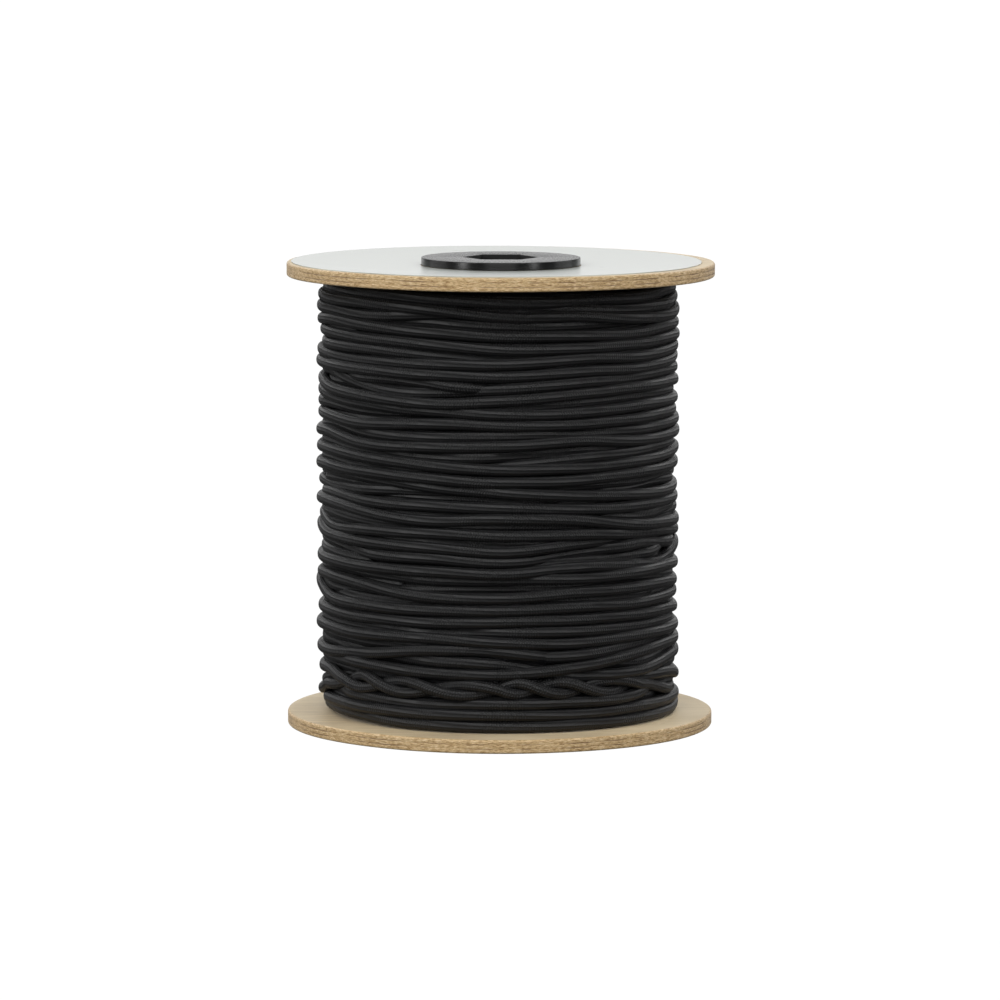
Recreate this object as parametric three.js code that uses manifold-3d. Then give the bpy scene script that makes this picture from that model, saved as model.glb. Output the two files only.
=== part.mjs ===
// A spool of round braided cord: two plywood flanges on a tube, a moulded hub with a six-sided bore
// let into the upper flange, a blank round label, and the cord wound between the flanges.
// Millimetres, +Z up. The origin is on the spool's axis, at the underside of the lower flange.

import * as THREE from 'three';
import { mergeVertices } from 'three/addons/utils/BufferGeometryUtils.js';
import Module from 'manifold-3d';

const wasm = await Module();
wasm.setup();

// Driving dimensions
const upperFlangeRadius = 82.5;
const lowerFlangeRadius = 82.2;
const plyThickness = 5.3;
const edgeRound = 1.3;
const flangeTop = 179.0; // height of the upper flange's top face at its rim
const flangeBow = 1.6; // how far the upper flange dips at its hub, its rim pushed up by the winding
const hubRadius = 30.7;
const hubThickness = 3.0;
const hubEdgeRound = 0.35;
const boreAcrossFlats = 25.4;
const sleeveRadius = 21.7;
const sleeveLength = 30;
const tubeRadius = 26;
const tubeWall = 4;
const labelRadius = 79;
const labelThickness = 0.25;
const labelShift = -1.7; // the label is stuck on a little to the left of the axis
const gap = 0.3; // clearance between neighbouring pieces
const cordDiameter = 4.75;
const windingCrest = 69; // radius over the outermost turns, halfway up
const windingEndDrop = 2; // how much smaller that radius is beside the flanges
const ridgeDepth = 1.5; // depth of the groove between two turns
const ridgeShoulder = 0.28; // where a turn's ridge reaches its full height, as a share of its width
const wanderSwing = 0.9; // how far the turns stray up and down
const turnCount = 35;
const roundSegments = 48;
const windingSegments = 36;

// The twisted stretch near the bottom, where two turns wind round each other
const twist = {
  height: 23.2, // of its middle line
  from: -62, // degrees round from the front
  to: 68,
  turns: 4.25,
  swing: 2.15, // how far each strand winds up and down about that line
  depth: 1.6, // and how far in and out
  reach: 66.4, // radius of the middle line from the spool's axis
  bedRadius: 66.8, // of the smooth bed under the two strands
  bedHalf: [3.5, 5.5], // half its height, where it is level and where it ends
  fade: 14, // degrees over which it comes and goes
  sides: 8,
  steps: 50,
};

const windingBottom = plyThickness + gap;
const windingTop = flangeTop - flangeBow - plyThickness - gap;
const turnPitch = (windingTop - windingBottom) / turnCount;

const colours = {
  plywood: 0xc9b184,
  paper: 0xe4e6e2,
  blackPlastic: 0x2b2a2a,
  kraft: 0xa98a62,
  blackCord: 0x1c1c1d,
};

// Radii at which the upper flange's bow bends: flat under the hub, steepest near the rim
const bowBends = [hubRadius, 47, 64, labelRadius];

// How far the upper flange's face lies below its rim, at a radius
function bowAt(radius) {
  const t = THREE.MathUtils.clamp((radius - hubRadius) / (labelRadius - hubRadius), 0, 1);
  return flangeBow * (1 - t ** 1.5);
}

// Points of a quarter round, from one angle to the next, about a centre
function quarterRound(centreR, centreZ, radius, fromDeg, steps = 3) {
  return Array.from({ length: steps + 1 }, (_, i) => {
    const a = THREE.MathUtils.degToRad(fromDeg + (90 * i) / steps);
    return new THREE.Vector2(centreR + radius * Math.cos(a), centreZ + radius * Math.sin(a));
  });
}

// A closed section turned about the upright axis
function turned(section, segments = roundSegments) {
  const geometry = new THREE.LatheGeometry([...section, section[0].clone()], segments);
  geometry.rotateX(Math.PI / 2);
  return geometry;
}

function toSolid(geometry) {
  const bare = geometry.index ? geometry.clone() : mergeVertices(geometry);
  bare.deleteAttribute('normal');
  bare.deleteAttribute('uv');
  const merged = mergeVertices(bare, 1e-3);
  return new wasm.Manifold(
    new wasm.Mesh({
      numProp: 3,
      vertProperties: merged.attributes.position.array,
      triVerts: new Uint32Array(merged.index.array),
    }),
  );
}

function toGeometry(solid) {
  const mesh = solid.getMesh();
  const geometry = new THREE.BufferGeometry();
  geometry.setAttribute('position', new THREE.BufferAttribute(new Float32Array(mesh.vertProperties), 3));
  geometry.setIndex(new THREE.BufferAttribute(new Uint32Array(mesh.triVerts), 1));
  geometry.computeVertexNormals();
  return geometry;
}

// A plywood disc with eased edges and a hole for the tube; both its faces dip towards the middle,
// bent at the given radii
function flangeGeometry(radius, top, bends = [], dip = () => 0) {
  const bottom = top - plyThickness;
  const faceRadii = [tubeRadius + gap, ...bends];
  const under = faceRadii.map((r) => new THREE.Vector2(r, bottom - dip(r)));
  const over = faceRadii.map((r) => new THREE.Vector2(r, top - dip(r))).reverse();
  return turned([
    ...under,
    ...quarterRound(radius - edgeRound, bottom + edgeRound, edgeRound, -90),
    ...quarterRound(radius - edgeRound, top - edgeRound, edgeRound, 0),
    ...over,
  ]);
}

// The paper disc follows the upper flange's dipped face and is cut out round the hub
function labelGeometry() {
  const radii = [hubRadius / 2, ...bowBends];
  const z = (r) => flangeTop + gap - bowAt(r);
  const under = radii.map((r) => new THREE.Vector2(r, z(r)));
  const over = radii.map((r) => new THREE.Vector2(r, z(r) + labelThickness)).reverse();
  const disc = turned([...under, ...over]);
  disc.translate(labelShift, 0, 0);
  const cutOut = new THREE.CylinderGeometry(hubRadius + gap, hubRadius + gap, 20, roundSegments);
  cutOut.rotateX(Math.PI / 2);
  cutOut.translate(0, 0, flangeTop);
  return toGeometry(toSolid(disc).subtract(toSolid(cutOut)));
}

// The hub's round plate stands on the flange and its sleeve reaches down inside the tube
function hubGeometry() {
  const seat = flangeTop - flangeBow + gap;
  const top = seat + hubThickness;
  const sleeveEnd = seat - sleeveLength;
  const core = boreAcrossFlats / 4;
  const body = turned([
    new THREE.Vector2(core, sleeveEnd),
    new THREE.Vector2(sleeveRadius, sleeveEnd),
    new THREE.Vector2(sleeveRadius, seat),
    new THREE.Vector2(hubRadius, seat),
    ...quarterRound(hubRadius - hubEdgeRound, top - hubEdgeRound, hubEdgeRound, 0),
    new THREE.Vector2(core, top),
  ]);
  const boreRadius = boreAcrossFlats / 2 / Math.cos(Math.PI / 6);
  const bore = new THREE.CylinderGeometry(boreRadius, boreRadius, 2 * sleeveLength, 6);
  bore.rotateX(Math.PI / 2);
  bore.rotateZ(Math.PI / 6);
  bore.translate(0, 0, seat - sleeveLength / 2);
  return toGeometry(toSolid(body).subtract(toSolid(bore)));
}

function tubeGeometry() {
  const top = flangeTop - flangeBow;
  const inner = tubeRadius - tubeWall;
  return turned([
    new THREE.Vector2(inner, 0),
    new THREE.Vector2(tubeRadius, 0),
    new THREE.Vector2(tubeRadius, top),
    new THREE.Vector2(inner, top),
  ]);
}

// 1 along the twisted stretch, falling to 0 at its ends
function twistWeight(degrees) {
  const rise = THREE.MathUtils.smoothstep(degrees, twist.from, twist.from + twist.fade);
  const fall = THREE.MathUtils.smoothstep(degrees, twist.to - twist.fade, twist.to);
  return rise * (1 - fall);
}

// Turns wander up and down a little as they go round, less beside the flanges
function wander(angle, height) {
  const middle = (windingBottom + windingTop) / 2;
  const t = (height - middle) / (windingTop - middle);
  const waves = Math.sin(2 * angle + height * 0.09) + 0.6 * Math.sin(3 * angle - height * 0.17 + 1);
  return wanderSwing * (1 - t ** 4) * waves;
}

// The winding's outline at a height: fuller halfway up, drawn in beside the flanges
function crestRadius(height) {
  const middle = (windingBottom + windingTop) / 2;
  const t = Math.abs(height - middle) / (windingTop - middle);
  return windingCrest - windingEndDrop * t ** 8;
}

// The ridged ring of turns, each turn one ridge, shifted up and down as the turns wander
function ridgedRing() {
  const inner = tubeRadius + gap;
  const section = [new THREE.Vector2(inner, windingBottom)];
  for (let turn = 0; turn < turnCount; turn += 1) {
    const low = windingBottom + turn * turnPitch;
    const shoulders = [low + ridgeShoulder * turnPitch, low + (1 - ridgeShoulder) * turnPitch];
    section.push(new THREE.Vector2(crestRadius(low) - ridgeDepth, low));
    section.push(...shoulders.map((z) => new THREE.Vector2(crestRadius(z), z)));
  }
  section.push(new THREE.Vector2(crestRadius(windingTop) - ridgeDepth, windingTop));
  section.push(new THREE.Vector2(inner, windingTop));
  const ring = turned(section, windingSegments);
  const spot = ring.attributes.position;
  for (let i = 0; i < spot.count; i += 1) {
    const [x, y, z] = [spot.getX(i), spot.getY(i), spot.getZ(i)];
    const radius = Math.hypot(x, y);
    if (radius < windingCrest / 2) continue;
    const angle = Math.atan2(x, -y);
    const nearTwist = 1 - THREE.MathUtils.smoothstep(Math.abs(z - twist.height), ...twist.bedHalf);
    const bed = nearTwist * twistWeight(THREE.MathUtils.radToDeg(angle));
    const scale = THREE.MathUtils.lerp(radius, twist.bedRadius, bed) / radius;
    spot.setXYZ(i, x * scale, y * scale, z + wander(angle, z) * (1 - nearTwist));
  }
  return ring;
}

// One strand of the twisted stretch: a helix bent round the spool
class TwistStrand extends THREE.Curve {
  constructor(phase) {
    super();
    this.phase = phase;
  }
  getPoint(t, target = new THREE.Vector3()) {
    const degrees = THREE.MathUtils.lerp(twist.from, twist.to, t);
    const ease = twistWeight(degrees);
    const turn = 2 * Math.PI * twist.turns * t + this.phase;
    const radius = twist.reach - cordDiameter * (1 - ease) + ease * twist.depth * Math.sin(turn);
    const angle = THREE.MathUtils.degToRad(degrees);
    const height = twist.height + twist.swing * Math.cos(turn);
    return target.set(radius * Math.sin(angle), -radius * Math.cos(angle), height);
  }
}

function strandGeometry(phase) {
  const round = new THREE.Shape().absarc(0, 0, cordDiameter / 2, 0, 2 * Math.PI);
  return new THREE.ExtrudeGeometry(round, {
    steps: twist.steps,
    curveSegments: twist.sides / 2,
    extrudePath: new TwistStrand(phase),
  });
}

// The winding is one solid: the ridged ring joined with the two strands that twist together
function windingGeometry() {
  let solid = toSolid(ridgedRing());
  for (const phase of [0, Math.PI]) {
    solid = solid.add(toSolid(strandGeometry(phase)));
  }
  return toGeometry(solid);
}

function piece(name, geometry, colour, roughness) {
  const material = new THREE.MeshStandardMaterial({ color: colour, roughness, metalness: 0 });
  const mesh = new THREE.Mesh(geometry, material);
  mesh.name = name;
  return mesh;
}

const spool = new THREE.Group();
const lowerFlange = flangeGeometry(lowerFlangeRadius, plyThickness);
const upperFlange = flangeGeometry(upperFlangeRadius, flangeTop, bowBends, bowAt);
spool.add(piece('bottom_flange', lowerFlange, colours.plywood, 0.7));
spool.add(piece('top_flange', upperFlange, colours.plywood, 0.7));
spool.add(piece('label', labelGeometry(), colours.paper, 0.3));
spool.add(piece('hub', hubGeometry(), colours.blackPlastic, 0.45));
spool.add(piece('tube', tubeGeometry(), colours.kraft, 0.85));
spool.add(piece('wound_cord', windingGeometry(), colours.blackCord, 0.6));

export default spool;
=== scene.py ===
import math

import bpy
import numpy as np
from mathutils import Matrix, Vector


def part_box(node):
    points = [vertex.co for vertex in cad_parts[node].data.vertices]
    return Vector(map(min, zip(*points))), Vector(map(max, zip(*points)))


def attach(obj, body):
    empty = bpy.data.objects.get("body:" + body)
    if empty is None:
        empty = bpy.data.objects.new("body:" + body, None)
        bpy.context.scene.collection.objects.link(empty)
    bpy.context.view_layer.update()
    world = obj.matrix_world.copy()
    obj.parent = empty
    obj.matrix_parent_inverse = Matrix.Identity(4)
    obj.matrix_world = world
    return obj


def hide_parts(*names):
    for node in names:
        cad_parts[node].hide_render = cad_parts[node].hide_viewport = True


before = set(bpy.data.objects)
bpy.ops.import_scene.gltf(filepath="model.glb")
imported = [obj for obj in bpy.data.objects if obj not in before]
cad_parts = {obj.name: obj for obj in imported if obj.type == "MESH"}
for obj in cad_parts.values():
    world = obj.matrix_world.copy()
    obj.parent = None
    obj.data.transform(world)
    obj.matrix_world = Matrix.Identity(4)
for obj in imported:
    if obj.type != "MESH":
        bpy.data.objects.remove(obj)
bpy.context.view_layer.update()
mm = 0.001
pieceGap = 0.3  # between pieces that lie against each other
chance = np.random.default_rng(11)

# Small helpers

def linearColour(hexText, alpha=1.0):
    parts = [int(hexText[i:i + 2], 16) / 255 for i in (0, 2, 4)]
    return tuple(p / 12.92 if p <= 0.04045 else ((p + 0.055) / 1.055) ** 2.4 for p in parts) + (alpha,)


# Adds a node: a socket given as an input is linked, anything else is set on the input itself
def addNode(tree, kind, settings=None, inputs=None):
    node = tree.nodes.new("ShaderNode" + kind)
    for name, value in (settings or {}).items():
        if name == "stops":
            ramp = node.color_ramp
            while len(ramp.elements) < len(value):
                ramp.elements.new(0.5)
            for element, (place, hexText) in zip(ramp.elements, value):
                element.position = place
                element.color = linearColour(hexText)
        else:
            setattr(node, name, value)
    for name, value in (inputs or {}).items():
        if isinstance(value, bpy.types.NodeSocket):
            tree.links.new(value, node.inputs[name])
        else:
            node.inputs[name].default_value = value
    return node.outputs


def startMaterial(name):
    material = bpy.data.materials.new(name)
    material.use_nodes = True
    material.node_tree.nodes.clear()
    return material, material.node_tree


# Makes a mesh object from points in millimetres and faces that list them
def addPiece(name, points, faces, material, node, smoothAngle=None):
    mesh = bpy.data.meshes.new(name)
    mesh.from_pydata((np.asarray(points) * mm).tolist(), [], [tuple(f) for f in faces])
    mesh.polygons.foreach_set("use_smooth", [True] * len(mesh.polygons))
    mesh.materials.append(material)
    if smoothAngle:
        mesh.set_sharp_from_angle(angle=math.radians(smoothAngle))
    mesh.validate()
    piece = bpy.data.objects.new(name, mesh)
    bpy.context.scene.collection.objects.link(piece)
    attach(piece, "root")
    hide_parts(node)
    return piece


# A smooth curve through knots, with the slopes of a Catmull-Rom spline
def throughKnots(knots, values, at):
    x = np.asarray(knots, float)
    y = np.asarray(values, float)
    slope = np.gradient(y, x)
    i = np.clip(np.searchsorted(x, at, side="right") - 1, 0, len(x) - 2)
    span = x[i + 1] - x[i]
    t = np.clip((at - x[i]) / span, 0, 1)
    first = (1 + 2 * t) * (1 - t) ** 2 * y[i] + t * (1 - t) ** 2 * span * slope[i]
    second = t * t * (3 - 2 * t) * y[i + 1] - t * t * (1 - t) * span * slope[i + 1]
    return first + second


def easeBetween(low, high, at):
    t = np.clip((np.asarray(at, float) - low) / (high - low), 0, 1)
    return t * t * (3 - 2 * t)


# Camera, floor and light

cameraSetup = {
    "place": (-0.1, -2357.6, 357.9),
    "lens": 220.92,  # mm, on a 36 mm sensor
    "sensor": 36.0,
    "tiltDown": 6.566,
    "roll": 0.14,
}

studioSetup = {
    "floorDrop": 0.2,  # mm below the spool, so that the two faces don't fight
    "floorSize": 9000,
    "floorColour": "545453",  # what the spool sees of the floor
    "backdrop": 1.06,  # how bright the camera sees the floor and the backdrop, both lit from behind
    "floorGlow": 0.97,  # the share of the floor's brightness that is such a glow
    "worldStrength": 0.06,  # what the backdrop gives to the spool
    # place, aimed at, width and height in mm, power in watts
    "lights": {
        "boxInFront": ((0, -2450, 3080), (0, 0, 90), (3400, 900), 65),
        "boxLow": ((0, -3300, 800), (0, 0, 90), (2600, 700), 20),
        "stripRight": ((2130, -1850, 1250), (0, 0, 90), (600, 2300), 26),
        "stripLeft": ((-2340, -1580, 1250), (0, 0, 90), (600, 2300), 41),
        "wallRight": ((3500, 900, 1200), (0, 0, 90), (2600, 2000), 30),
        "wallLeft": ((-3500, 900, 1200), (0, 0, 90), (2600, 2000), 28),
        "wallBehind": ((0, 4200, 1750), (0, 0, 90), (6000, 3600), 68),
        "boxBackRight": ((1800, 2150, 2400), (0, 0, 90), (1500, 1500), 25),
        "boxBackLeft": ((-1800, 2150, 2400), (0, 0, 90), (1500, 1500), 25),
    },
}


def makeCamera():
    data = bpy.data.cameras.new("camera")
    data.sensor_width = cameraSetup["sensor"]
    data.lens = cameraSetup["lens"]
    data.clip_start = 0.1
    data.clip_end = 50
    viewer = bpy.data.objects.new("camera", data)
    tilt = Matrix.Rotation(math.radians(90 - cameraSetup["tiltDown"]), 4, "X")
    roll = Matrix.Rotation(math.radians(cameraSetup["roll"]), 4, "Z")
    viewer.matrix_world = Matrix.Translation(Vector(cameraSetup["place"]) * mm) @ tilt @ roll
    bpy.context.scene.collection.objects.link(viewer)
    bpy.context.scene.camera = viewer


def makeFloor():
    half = studioSetup["floorSize"] / 2 * mm
    height = -studioSetup["floorDrop"] * mm
    mesh = bpy.data.meshes.new("floor")
    corners = [(-half, -half, height), (half, -half, height), (half, half, height), (-half, half, height)]
    mesh.from_pydata(corners, [], [(0, 1, 2, 3)])
    material, tree = startMaterial("matt white studio card")
    card = addNode(
        tree, "BsdfPrincipled",
        inputs={
            "Base Color": linearColour(studioSetup["floorColour"]), "Roughness": 0.95,
            "Specular IOR Level": 0.1,
        },
    )["BSDF"]
    glow = addNode(
        tree, "Emission", inputs={"Color": (1, 1, 1, 1), "Strength": studioSetup["backdrop"]}
    )["Emission"]
    seen = addNode(tree, "LightPath")["Is Camera Ray"]
    share = addNode(
        tree, "Math", {"operation": "MULTIPLY"}, {0: seen, 1: studioSetup["floorGlow"]}
    )["Value"]
    both = addNode(tree, "MixShader", inputs={0: share, 1: card, 2: glow})["Shader"]
    addNode(tree, "OutputMaterial", inputs={"Surface": both})
    mesh.materials.append(material)
    floor = bpy.data.objects.new("floor", mesh)
    bpy.context.scene.collection.objects.link(floor)


def makeLights():
    for name, (place, aim, size, power) in studioSetup["lights"].items():
        data = bpy.data.lights.new(name, "AREA")
        data.shape = "RECTANGLE"
        data.size = size[0] * mm
        data.size_y = size[1] * mm
        data.energy = power
        lamp = bpy.data.objects.new(name, data)
        lamp.location = Vector(place) * mm
        lamp.rotation_euler = (Vector(aim) - Vector(place)).to_track_quat("-Z", "Y").to_euler()
        bpy.context.scene.collection.objects.link(lamp)
    world = bpy.data.worlds.new("white studio")
    world.use_nodes = True
    tree = world.node_tree
    seen = addNode(tree, "LightPath")["Is Camera Ray"]
    strength = addNode(
        tree, "MapRange",
        inputs={"Value": seen, "To Min": studioSetup["worldStrength"], "To Max": studioSetup["backdrop"]},
    )["Result"]
    sky = tree.nodes["Background"]
    sky.inputs["Color"].default_value = (1, 1, 1, 1)
    tree.links.new(strength, sky.inputs["Strength"])
    bpy.context.scene.world = world
    bpy.context.scene.view_settings.view_transform = "Standard"


makeCamera()
makeFloor()
makeLights()
print("camera, floor and lights are in place")

# Sizes shared by the pieces, worked out from the frame

plyLow, plyHigh = (corner.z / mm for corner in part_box("bottom_flange"))
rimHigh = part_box("top_flange")[1].z / mm
hubLow, hubHigh = (corner.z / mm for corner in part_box("hub"))
tubeLow, tubeHigh = (corner.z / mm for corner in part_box("tube"))
plyThickness = plyHigh - plyLow
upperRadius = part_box("top_flange")[1].x / mm
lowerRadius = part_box("bottom_flange")[1].x / mm
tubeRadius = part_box("tube")[1].x / mm
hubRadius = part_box("hub")[1].x / mm

flange = {
    "edgeRound": 0.8,
    "bow": 1.6,  # how far the upper flange dips at its hub
    "bowFrom": 30.7,
    "bowTo": 79.0,
    "bowShape": 1.5,
    "rings": (36, 42, 48, 54, 60, 66, 72, 76),  # radii of the points on a face, which follow the bow
    "glueLines": (0.34, 0.66),  # heights of the two glue lines, as shares of the thickness
    "glueDepth": 0.04,
    "glueHalf": 0.16,  # half the height of the groove at a glue line
    "segments": 288,
    "waviness": 0.12,  # how far the sanded edge strays from a true round
    "warp": 0.04,  # how far the rim strays up and down
}


def bowAt(radius):
    span = flange["bowTo"] - flange["bowFrom"]
    t = np.clip((np.asarray(radius, float) - flange["bowFrom"]) / span, 0, 1)
    return flange["bow"] * (1 - t ** flange["bowShape"])


# A closed section of (radius, height) points turned about the upright axis; shift moves each ring's
# points by (radius, height) worked out from its angle
def turned(section, segments, shift=None):
    section = np.asarray(section, float)
    angle = np.linspace(0, 2 * np.pi, segments, endpoint=False)
    radius = np.repeat(section[None, :, 0], segments, 0)
    height = np.repeat(section[None, :, 1], segments, 0)
    if shift:
        moveOut, moveUp = shift(angle[:, None], radius, height)
        radius = radius + moveOut
        height = height + moveUp
    points = np.stack([radius * np.cos(angle)[:, None], radius * np.sin(angle)[:, None], height], 2)
    count = len(section)
    faces = []
    for i in range(segments):
        after = (i + 1) % segments
        for j in range(count):
            up = (j + 1) % count
            faces.append((i * count + j, after * count + j, after * count + up, i * count + up))
    return points.reshape(-1, 3), faces


def quarterRound(centreR, centreZ, radius, start, steps=5):
    angles = np.radians(start + 90 * np.arange(steps + 1) / steps)
    return [(centreR + radius * math.cos(a), centreZ + radius * math.sin(a)) for a in angles]


# Distance from the upright axis, for a material that changes from its middle to its rim
def distanceFromAxis(tree, parts):
    flat = addNode(tree, "CombineXYZ", inputs={"X": parts["X"], "Y": parts["Y"]})["Vector"]
    return addNode(tree, "VectorMath", {"operation": "LENGTH"}, {0: flat})["Value"]


# Birch plywood

plywood = {
    "face": [(0.28, "a68d62"), (0.43, "bfa779"), (0.58, "cbb58a"), (0.76, "dac59d")],
    "edge": [(0.33, "785833"), (0.42, "a98a5b"), (0.52, "c6a87b"), (0.68, "e3cda5")],
    "glue": "694d2e",
    "grainWidth": 0.9,  # mm across a streak of grain
    "grainLength": 28.0,
    "grainDepth": 6.667,
    "figure": 45.5,  # mm across the cloudy patches of a face
    "figureShare": 0.8,
    "speck": 0.38,  # mm of height of the short dark dashes of end grain on the edge
    "speckLength": 1.8,
    "glueWidth": 0.3,
    "glueBreak": 13.33,  # mm between the breaks in a glue line
    "glueWobble": 0.5,
    "glueShown": (0.42, 0.6, 0.8),  # where the line starts to show and shows most, and how strongly
    "nap": 0.2,  # the raised fibres, which whiten it where it is seen at a low angle
}


# Birch plywood, sanded and unvarnished: dry, pale and softly streaked on its faces, and on its sawn
# edge full of short dark dashes, with two broken glue lines between the plies
def birchPlywood(name, low, radius):
    material, tree = startMaterial(name)
    place = addNode(tree, "TexCoord")["Object"]
    grainSizes = (plywood["grainLength"], plywood["grainWidth"], plywood["grainDepth"])
    grainScale = tuple(1 / (size * mm) for size in grainSizes)
    stretched = addNode(tree, "Mapping", inputs={"Vector": place, "Scale": grainScale})["Vector"]
    grain = addNode(
        tree, "TexNoise",
        inputs={"Vector": stretched, "Scale": 1.0, "Detail": 5, "Roughness": 0.62, "Distortion": 0.6},
    )["Fac"]
    figure = addNode(
        tree, "TexNoise", inputs={"Vector": place, "Scale": 1 / (plywood["figure"] * mm), "Detail": 3}
    )["Fac"]
    figureShare = plywood["figureShare"]
    mixed = addNode(
        tree, "Math", {"operation": "MULTIPLY_ADD"}, {0: figure, 1: figureShare, 2: -figureShare / 2}
    )["Value"]
    faceTone = addNode(tree, "Math", {"operation": "ADD"}, {0: grain, 1: mixed})["Value"]
    faceColour = addNode(tree, "ValToRGB", {"stops": plywood["face"]}, {"Fac": faceTone})["Color"]

    parts = addNode(tree, "SeparateXYZ", inputs={0: place})
    onEdge = addNode(
        tree, "MapRange", {"interpolation_type": "SMOOTHSTEP"},
        {
            "Value": distanceFromAxis(tree, parts), "From Min": (radius - 1.0) * mm,
            "From Max": (radius - 0.35) * mm,
        },
    )["Result"]
    speckSpace = addNode(
        tree, "Mapping",
        inputs={
            "Vector": place,
            "Scale": (1 / (plywood["speckLength"] * mm),) * 2 + (1 / (plywood["speck"] * mm),),
        },
    )["Vector"]
    specks = addNode(
        tree, "TexNoise", inputs={"Vector": speckSpace, "Scale": 1.0, "Detail": 4, "Roughness": 0.7}
    )["Fac"]
    edgeColour = addNode(tree, "ValToRGB", {"stops": plywood["edge"]}, {"Fac": specks})["Color"]

    # A glue line shows where the height is near its own and a slow noise lets it through
    broken = addNode(
        tree, "TexNoise", inputs={"Vector": place, "Scale": 1 / (plywood["glueBreak"] * mm), "Detail": 2}
    )["Fac"]
    wobbleHeight = plywood["glueWobble"] * mm
    wobble = addNode(
        tree, "Math", {"operation": "MULTIPLY_ADD"}, {0: broken, 1: wobbleHeight, 2: -wobbleHeight / 2}
    )["Value"]
    height = addNode(tree, "Math", {"operation": "ADD"}, {0: parts["Z"], 1: wobble})["Value"]
    lines = None
    for share in flange["glueLines"]:
        off = addNode(
            tree, "Math", {"operation": "SUBTRACT"}, {0: height, 1: (low + share * plyThickness) * mm}
        )["Value"]
        away = addNode(tree, "Math", {"operation": "ABSOLUTE"}, {0: off})["Value"]
        line = addNode(
            tree, "MapRange", {"interpolation_type": "SMOOTHSTEP"},
            {
                "Value": away, "From Min": 0.3 * plywood["glueWidth"] * mm,
                "From Max": plywood["glueWidth"] * mm, "To Min": 1.0, "To Max": 0.0,
            },
        )["Result"]
        lines = line if lines is None else addNode(
            tree, "Math", {"operation": "MAXIMUM"}, {0: lines, 1: line}
        )["Value"]
    showsFrom, showsMost, strength = plywood["glueShown"]
    gaps = addNode(
        tree, "MapRange", {"interpolation_type": "SMOOTHSTEP"},
        {
            "Value": broken, "From Min": showsFrom, "From Max": showsMost,
            "To Min": 0.0, "To Max": strength,
        },
    )["Result"]
    lines = addNode(tree, "Math", {"operation": "MULTIPLY"}, {0: lines, 1: gaps})["Value"]
    edgeColour = addNode(
        tree, "Mix", {"data_type": "RGBA"}, {0: lines, 6: edgeColour, 7: linearColour(plywood["glue"])}
    )[2]
    colour = addNode(tree, "Mix", {"data_type": "RGBA"}, {0: onEdge, 6: faceColour, 7: edgeColour})[2]
    relief = addNode(tree, "Mix", {"data_type": "FLOAT"}, {0: onEdge, 2: grain, 3: specks})[0]
    bump = addNode(
        tree, "Bump", inputs={"Height": relief, "Strength": 0.25, "Distance": 0.15 * mm}
    )["Normal"]
    rough = addNode(
        tree, "MapRange", inputs={"Value": relief, "To Min": 0.44, "To Max": 0.62}
    )["Result"]
    shader = addNode(
        tree, "BsdfPrincipled",
        inputs={
            "Base Color": colour, "Roughness": rough, "Normal": bump, "Sheen Weight": plywood["nap"],
            "Sheen Roughness": 0.4,
        },
    )
    addNode(tree, "OutputMaterial", inputs={"Surface": shader["BSDF"]})
    return material


# The flange's section: both faces, two rounded corners, and an edge with a fine groove at each glue line
def flangeSection(radius, top, dip):
    low = top - plyThickness
    faceRadii = [tubeRadius + pieceGap, hubRadius, *flange["rings"], flange["bowTo"]]
    groove = flange["glueHalf"]
    corner = flange["edgeRound"]
    section = [(r, low - dip(r)) for r in faceRadii]
    section += quarterRound(radius - corner, low + corner, corner, -90)
    for share in flange["glueLines"]:
        middle = low + share * plyThickness
        section += [
            (radius, middle - groove), (radius - flange["glueDepth"], middle), (radius, middle + groove),
        ]
    section += quarterRound(radius - corner, top - corner, corner, 0)
    section += [(r, top - dip(r)) for r in reversed(faceRadii)]
    return section


# The sanding leaves slow waves in the edge, which only take wood away, and a slight warp
def makeFlange(name, node, radius, top, dip):
    def sanded(angle, r, z):
        reach = easeBetween(0.8 * radius, radius, r)
        waves = np.sin(3 * angle + 0.7) + 0.6 * np.sin(7 * angle + top) + 0.4 * np.sin(13 * angle)
        taken = 0.5 + 0.25 * waves  # between 0 and 1
        return -flange["waviness"] * reach * taken, flange["warp"] * reach * np.sin(5 * angle + 1)

    points, faces = turned(flangeSection(radius, top, dip), flange["segments"], sanded)
    wood = birchPlywood(name.replace("_", " ") + " in sanded birch plywood", top - plyThickness, radius)
    return addPiece(name, points, faces, wood, node, 40)


makeFlange("lower_flange", "bottom_flange", lowerRadius, plyHigh, lambda r: 0.0)
makeFlange("upper_flange", "top_flange", upperRadius, rimHigh, lambda r: float(bowAt(r)))
print("flanges made")

# Label

label = {
    "radius": 79.0,
    "shift": -1.7,  # it is stuck on a little to the left
    "thickness": 0.22,
    "clearance": 0.06,  # paste between the paper and the wood
    "cutRadius": 31.0,
    "segments": 240,
    "rings": 14,
    "colours": [(0.25, "b3b6b1"), (0.5, "bbbfba"), (0.8, "c5c9c3")],
    "streak": (33.3, 3.03, 33.3),  # mm along, across and through the wood's grain that shows in it
    "cloud": 22.2,
    "ripple": 0.05,  # how high it lifts off the wood
    "rippleLengths": (9, 13),
}


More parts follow.
